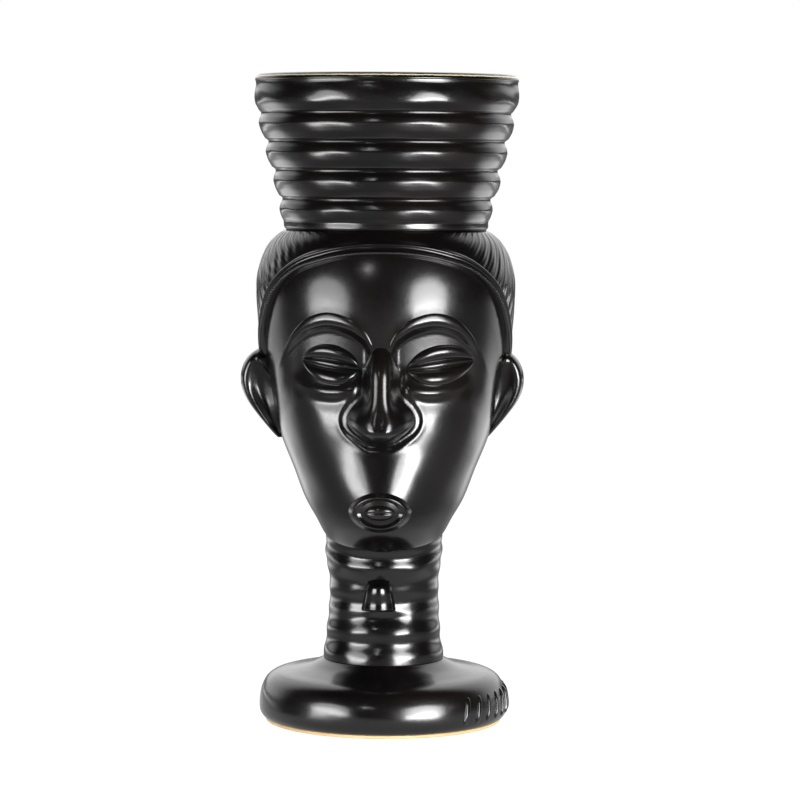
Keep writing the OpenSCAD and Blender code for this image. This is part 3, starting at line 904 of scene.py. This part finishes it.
# ---- neck ------------------------------------------------------------------------------------
@dataclass
class Neck:
    """The ringed neck and the small boss at the throat."""

    ring_z: tuple = (18.0, 23.2, 28.4, 33.4, 38.4)
    ring_depth: float = 0.34
    boss_tall: float = 2.9
    rows: tuple = ((14.9, FOOT_TOP_Z), (14.1, 19.6), (13.8, 24), (13.4, 28), (13.3, 33),
                   (13.5, 37), (14.0, 41), (14.5, 44), (14.5, 46.4), (13.6, SKULL_FOOT_Z))

    def radius(self, z: np.ndarray) -> np.ndarray:
        """The neck's radius without its hand-made unevenness."""
        table = [[row[1], row[0]] for row in self.rows]
        rings = sum(bump(z - c, 1.9) for c in self.ring_z)
        return curve_at(table, z) + self.ring_depth * rings

    def wobble(self, a: np.ndarray, z: np.ndarray) -> np.ndarray:
        """The collar that dips at the throat, two slanting tendons and the unevenness."""
        turn = (a + np.pi) % (2 * np.pi) - np.pi
        fade = ramp(z, FOOT_TOP_Z, 18) * (1 - ramp(z, 45.5, 47.5))
        collar = 42.4 - 2.6 * np.cos(turn)
        out = 0.35 * bump(z - collar + 0.3, 1.4) - 0.2 * bump(z - collar - 2.2, 1.2)
        tendon = 35.5 + 5.0 * np.abs(turn)
        out = out + 0.25 * bump(z - tendon, 1.5) * ramp(np.abs(turn), 0.05, 0.3) \
            * (1 - ramp(np.abs(turn), 0.5, 0.95))
        out = out - 0.6 * bump(z - 27.0, 1.5) * bump(turn, 0.34)
        out = out + (0.9 * ramp(z, 29.0, 39.0) - 0.4) * bump(turn, 0.9) * ramp(z, 24.0, 30.0)
        return fade * (out + 0.07 * np.sin(3 * turn + 0.3 * z) + 0.05 * np.sin(8 * turn - 0.6 * z))

    def build_column(self) -> bpy.types.Object:
        """The neck's tube."""
        z = np.linspace(FOOT_TOP_Z, SKULL_FOOT_Z, 200)
        outside = np.stack([self.radius(z), z], -1)
        wall = np.concatenate([outside, cavity_between(SKULL_FOOT_Z, FOOT_TOP_Z)])
        inner_r = 11.0

        def outside_only(a: np.ndarray, zz: np.ndarray) -> np.ndarray:
            """Leaves the passage round."""
            return self.wobble(a, zz) * (wall[:, 0][:, None] > inner_r)

        return revolve("neck_column_ringed", wall, 240, True, outside_only)

    def build_boss(self) -> bpy.types.Object:
        """The faceted boss with its flat underside."""
        z = np.concatenate([np.linspace(37.4, 29.4, 60), np.linspace(29.3, 28.7, 8)])[:, None]
        u = np.linspace(-1, 1, 61)[None, :]
        down = np.clip((37.4 - z) / 8.0, 0, 1)
        half = 2.8 + 1.4 * down
        tall = np.where(z < 29.35, self.boss_tall * (z - 28.6) / 0.8,
                        self.boss_tall * ramp(down, 0.0, 0.35))
        x = half * u - 1.0
        lift = tall * (1 - 0.75 * u * u) - (0.25 * tall + 0.3) * ramp(np.abs(u), 0.8, 1.0)
        r = self.radius(z) + lift
        front = np.stack([x + 0 * z, -np.sqrt(r * r - x * x), z + 0 * u], -1)
        deep = self.radius(z) - 1.0
        back = np.stack([x + 0 * z, -np.sqrt(deep * deep - x * x), z + 0 * u], -1)
        front[0], front[-1] = 0.5 * (front[0] + back[0]), 0.5 * (front[-1] + back[-1])
        return patch("throat_boss_pressed", front, back)

    def build(self) -> list[bpy.types.Object]:
        """Builds the tube and the boss."""
        return [self.build_column(), self.build_boss()]

    def dress(self, pieces: list[bpy.types.Object], finishes: Finishes) -> None:
        """Gives the pieces their finishes."""
        for piece, node in zip(pieces, ("neck_column", "throat_boss")):
            hand_in(piece, finishes.body, "black_glaze", node)


# ---- foot ------------------------------------------------------------------------------------
@dataclass
class Foot:
    """The round foot, its bare clay underside and the slanted bars on its edge."""

    radius: float = 30.9
    bare: float = 0.8
    bars: int = 13
    spread: float = 94.0
    lean: float = 12.0

    def edge(self) -> np.ndarray:
        """The outside from the bare clay up to the neck."""
        r = self.radius
        return samples([
            [r - 1.5, self.bare], [r - 0.85, self.bare + 0.5], [r - 0.2, 2.4], [r, 4.2],
            [r - 0.25, 6.6], [r - 0.8, 8.6], [r - 2.0, 10.6], [r - 4.2, 11.9], [22.6, 12.7],
            [18.6, 13.7], [16.0, 14.9], [15.2, FOOT_TOP_Z]], 6)

    def build_plinth(self) -> bpy.types.Object:
        """The glazed foot, hollow inside."""
        inner = cavity_between(FOOT_TOP_Z, FLOOR_Z + 0.05)
        profile = np.concatenate([[[0, self.bare]], [[0.05, self.bare]], [[20, self.bare]],
                                  self.edge(), inner,
                                  [[15, FLOOR_Z], [0.05, FLOOR_Z], [0, FLOOR_Z]]])

        def soft(a: np.ndarray, z: np.ndarray) -> np.ndarray:
            """A slight unevenness of the outside."""
            out = (profile[1:-1, 0][:, None] > 27.0) * ramp(z, 2.0, 6.0)
            return out * (0.12 * np.sin(2 * a + 0.7) + 0.08 * np.sin(5 * a + 0.4 * z))

        return revolve("foot_plinth_glazed", profile, 288, False, soft)

    def build_bare(self) -> bpy.types.Object:
        """The disc of bare clay that the mug stands on."""
        r = self.radius - 1.6
        profile = np.array([[0, 0], [0.05, 0], [15, 0], [r - 0.3, 0], [r - 0.08, 0.08], [r, 0.3],
                            [r, self.bare], [0.05, self.bare], [0, self.bare]], float)
        return revolve("bare_foot_clay", profile, 288, False)

    def build_bars(self, finish: bpy.types.Material) -> bpy.types.Object:
        """Slanted bars set round the foot's edge with Geometry Nodes."""
        t = np.linspace(-1, 1, 41)[:, None]
        u = np.linspace(-1, 1, 17)[None, :]
        z = 5.8 + 3.4 * t
        edge = self.edge()
        base = np.interp(z[:, 0], edge[:46, 1], edge[:46, 0])[:, None]
        end = np.sqrt(np.clip(1 - np.abs(t) ** 5, 0, None))
        x = 0.75 * u * (0.25 + 0.75 * end) + t * 3.4 * math.tan(math.radians(self.lean))
        lift = 0.62 * end * np.sqrt(np.clip(1 - u ** 4, 0, None)) - 0.12
        front = np.stack([x, -(base + lift), z + 0 * u], -1)
        back = np.stack([x, -(base - 0.8 + 0 * u), z + 0 * u], -1)
        bar = patch("foot_bar", front, back)
        bar.data.materials.append(finish)
        tree, ids, source = node_rule("bars_rule", {
            "Bar": "Geometry", "Count": "Int", "Spread": "Float", "Finish": "Material"}, "Bars")
        spots = add(tree, "GeometryNodeMeshLine", {
            "Count": source.outputs["Count"], "Offset": (0.0, 0.0, 0.0)})
        index = add(tree, "GeometryNodeInputIndex").outputs[0]
        steps = maths(tree, "SUBTRACT", source.outputs["Count"], 1.0)
        centred = maths(tree, "SUBTRACT", maths(tree, "DIVIDE", index, steps), 0.5)
        angle = maths(tree, "MULTIPLY_ADD", centred, source.outputs["Spread"], math.radians(90))
        turn = add(tree, "ShaderNodeCombineXYZ", {"Z": angle})
        placed = add(tree, "GeometryNodeInstanceOnPoints", {
            "Points": spots.outputs["Mesh"], "Instance": source.outputs["Bar"],
            "Rotation": turn.outputs["Vector"]})
        end_rule(tree, source, placed.outputs["Instances"])
        return baked("foot_bars_pressed", bar, tree, {
            ids["Count"]: self.bars, ids["Spread"]: math.radians(self.spread),
            ids["Finish"]: finish})

    def build(self, finishes: Finishes) -> list[bpy.types.Object]:
        """Builds the plinth, the bare disc and the bars."""
        return [self.build_plinth(), self.build_bare(), self.build_bars(finishes.body)]

    def dress(self, pieces: list[bpy.types.Object], finishes: Finishes) -> None:
        """Gives the pieces their finishes."""
        hand_in(pieces[0], finishes.body, "black_glaze", "foot_plinth")
        hand_in(pieces[1], finishes.clay, "bare_clay", "bare_foot")
        hand_in(pieces[2], finishes.body, "black_glaze", "foot_bars")


@dataclass
class Lining:
    """The glaze poured inside."""

    thick: float = 0.4

    def build(self) -> bpy.types.Object:
        """A thin skin inside the cavity, from the lip to the floor."""
        outer = np.concatenate([cavity_between(LIP_LOW, FLOOR_Z + 0.02),
                                [[12, FLOOR_Z], [0.05, FLOOR_Z], [0, FLOOR_Z]]])
        run = np.gradient(outer, axis=0)
        run /= np.linalg.norm(run, axis=1, keepdims=True)
        inner = outer + self.thick * np.stack([run[:, 1], -run[:, 0]], -1)
        inner[-1] = [0, FLOOR_Z + self.thick]
        inner[0, 1] = LIP_LOW
        return revolve("glaze_liner_poured", np.concatenate([outer[::-1], inner]), 240, False)

    def dress(self, piece: bpy.types.Object, finishes: Finishes) -> None:
        """Gives the lining its finish."""
        hand_in(piece, finishes.inner, "inner_glaze", "glaze_liner")


# ---- studio ----------------------------------------------------------------------------------
@dataclass
class Studio:
    """A white studio, dark behind the camera, with a softbox on each side of it."""

    lens: float = 143.0
    distance: float = 786.0
    height: float = 140.9
    across: float = 3.7
    down: float = 4.45
    yaw: float = 1.0
    roll: float = 0.38

    def softbox(self, name: str, azimuth: float, low: float, high: float, far: float, wide: float,
                power: float) -> None:
        """Stands a softbox upright, facing the mug.

        Args:
            name: The light's name.
            azimuth: Degrees round from the camera's side, positive to its right.
            low: Height of its lower edge in metres.
            high: Height of its upper edge in metres.
            far: Distance in metres.
            wide: Width in metres.
            power: Watts.
        """
        lamp = bpy.data.lights.new(name, "AREA")
        lamp.shape = "ELLIPSE"
        lamp.size, lamp.size_y, lamp.energy = wide, high - low, power
        obj = linked(name, lamp)
        a = math.radians(azimuth)
        way = Vector((math.sin(a), -math.cos(a), 0))
        spot = far * way + Vector((0, 0, (low + high) / 2))
        obj.matrix_world = Matrix.Translation(spot) @ way.to_track_quat("Z", "Y").to_matrix().to_4x4()
        obj.visible_camera = False

    def surround(self) -> None:
        """White all round for the camera and the sides, dark where the camera stands."""
        world = bpy.data.worlds.new("studio")
        bpy.context.scene.world = world
        world.use_nodes = True
        tree = world.node_tree
        tree.nodes.clear()
        way = add(tree, "ShaderNodeTexCoord").outputs["Generated"]
        split = add(tree, "ShaderNodeSeparateXYZ", {"Vector": way})
        # bright behind the mug, dark behind the camera and below the horizon
        ahead = eased(tree, split.outputs["Y"], 0.2, 0.62, 0.01, 1.5)
        above = eased(tree, split.outputs["Z"], 0.02, 0.1, 0.1, 1.0)
        around = maths(tree, "MULTIPLY", ahead, above)
        seen = add(tree, "ShaderNodeLightPath").outputs["Is Camera Ray"]
        mixed = add(tree, "ShaderNodeMix", {
            "Factor": seen, "A": around, "B": 1.0}, data_type="FLOAT")
        glow = add(tree, "ShaderNodeBackground", {
            "Color": (1, 1, 1, 1), "Strength": mixed.outputs[0]})
        add(tree, "ShaderNodeOutputWorld", {"Surface": glow.outputs["Background"]})

    def floor(self) -> None:
        """A pale floor that melts into the white. It glows evenly for the camera; for every other ray the
        glow is painted light, brighter to both sides behind the mug, with a painted pool of light close
        to the foot.
        """
        size = 1.2
        mesh = bpy.data.meshes.new("floor")
        mesh.from_pydata([(-size, -size, 0), (size, -size, 0), (size, size, 0), (-size, size, 0)],
                         [], [(0, 1, 2, 3)])
        obj = linked("floor", mesh)
        mat, tree = blank_material("floor_white")
        seen = add(tree, "ShaderNodeLightPath").outputs["Is Camera Ray"]
        place = add(tree, "ShaderNodeTexCoord").outputs["Object"]
        far = add(tree, "ShaderNodeVectorMath", {0: place}, operation="LENGTH").outputs["Value"]
        depth = add(tree, "ShaderNodeSeparateXYZ", {"Vector": place}).outputs["Y"]
        behind = maths(tree, "DIVIDE", depth, far)
        # bright to both sides behind the mug, but not straight behind it
        back = eased(tree, behind, 0.15, 0.55, 0.0, 1.0)
        straight = eased(tree, behind, 0.8, 0.95, 1.0, 0.08)
        # how that brightness changes with distance, and a glow close to the foot
        under = eased(tree, far, 0.14, 0.26, 0.1, 2.4)
        dip = eased(tree, far, 0.42, 0.62, 1.0, 0.25)
        rim = eased(tree, far, 0.9, 1.15, 0.0, 2.6)
        near = eased(tree, far, 0.07, 0.12, 0.6, 0.12)
        away = maths(tree, "MULTIPLY_ADD", under, dip, rim)
        sides = maths(tree, "MULTIPLY", back, straight)
        lit = maths(tree, "MULTIPLY_ADD", sides, away, near)
        strength = add(tree, "ShaderNodeMix", {"Factor": seen, "A": lit, "B": 0.95},
                       data_type="FLOAT")
        matt = add(tree, "ShaderNodeBsdfDiffuse", {"Color": (0.18, 0.18, 0.18, 1)})
        glow = add(tree, "ShaderNodeEmission", {
            "Color": (1, 1, 1, 1), "Strength": strength.outputs[0]})
        both = add(tree, "ShaderNodeAddShader", {0: matt.outputs[0], 1: glow.outputs[0]})
        add(tree, "ShaderNodeOutputMaterial", {"Surface": both.outputs[0]})
        mesh.materials.append(mat)

    def camera(self) -> None:
        """A long lens a little above the face, looking slightly down."""
        lens = bpy.data.cameras.new("camera")
        lens.lens, lens.sensor_width = self.lens, 36.0
        lens.dof.use_dof = False
        obj = linked("camera", lens)
        turn = Matrix.Rotation(math.radians(self.yaw), 4, "Z")
        spot = Matrix.Translation(Vector((self.across, -self.distance, self.height)) * MM)
        aim = Euler((math.radians(90 - self.down), 0, 0)).to_matrix().to_4x4()
        obj.matrix_world = turn @ spot @ aim @ Matrix.Rotation(math.radians(self.roll), 4, "Z")
        bpy.context.scene.camera = obj

    def build(self) -> None:
        """Sets the lights, the surround, the floor and the camera."""
        left, right = -50, 38
        self.softbox("softbox_left", left, -0.04, 0.2, 0.44, 0.3, 1.1)
        self.softbox("softbox_right", right, -0.04, 0.2, 0.44, 0.26, 2.3)
        self.softbox("softbox_left_low", left, -0.03, 0.075, 0.43, 0.28, 0.85)
        self.softbox("softbox_right_low", right, -0.03, 0.075, 0.43, 0.24, 1.6)
        self.softbox("lamp_small", -15, 0.46, 0.58, 1.1, 0.1, 0.45)
        self.surround()
        self.floor()
        self.camera()
        bpy.context.scene.view_settings.view_transform = "Standard"


def main() -> None:
    """Loads the frame, builds every sub-assembly in order and sets the studio."""
    logging.basicConfig(level=logging.INFO, format="%(name)s: %(message)s")
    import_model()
    finishes = Finishes()
    skull = Skull()
    crown, head, face, neck, foot, lining = Crown(), Head(skull), Face(skull), Neck(), Foot(), Lining()
    crown.dress(crown.build(), finishes)
    head.dress(head.build(), finishes)
    face.dress(face.build(), finishes)
    for ear in (Ear(-1), Ear(1)):
        ear.dress(ear.build(), finishes)
    neck.dress(neck.build(), finishes)
    foot.dress(foot.build(finishes), finishes)
    lining.dress(lining.build(), finishes)
    Studio().build()


if __name__ == "__main__":
    main()
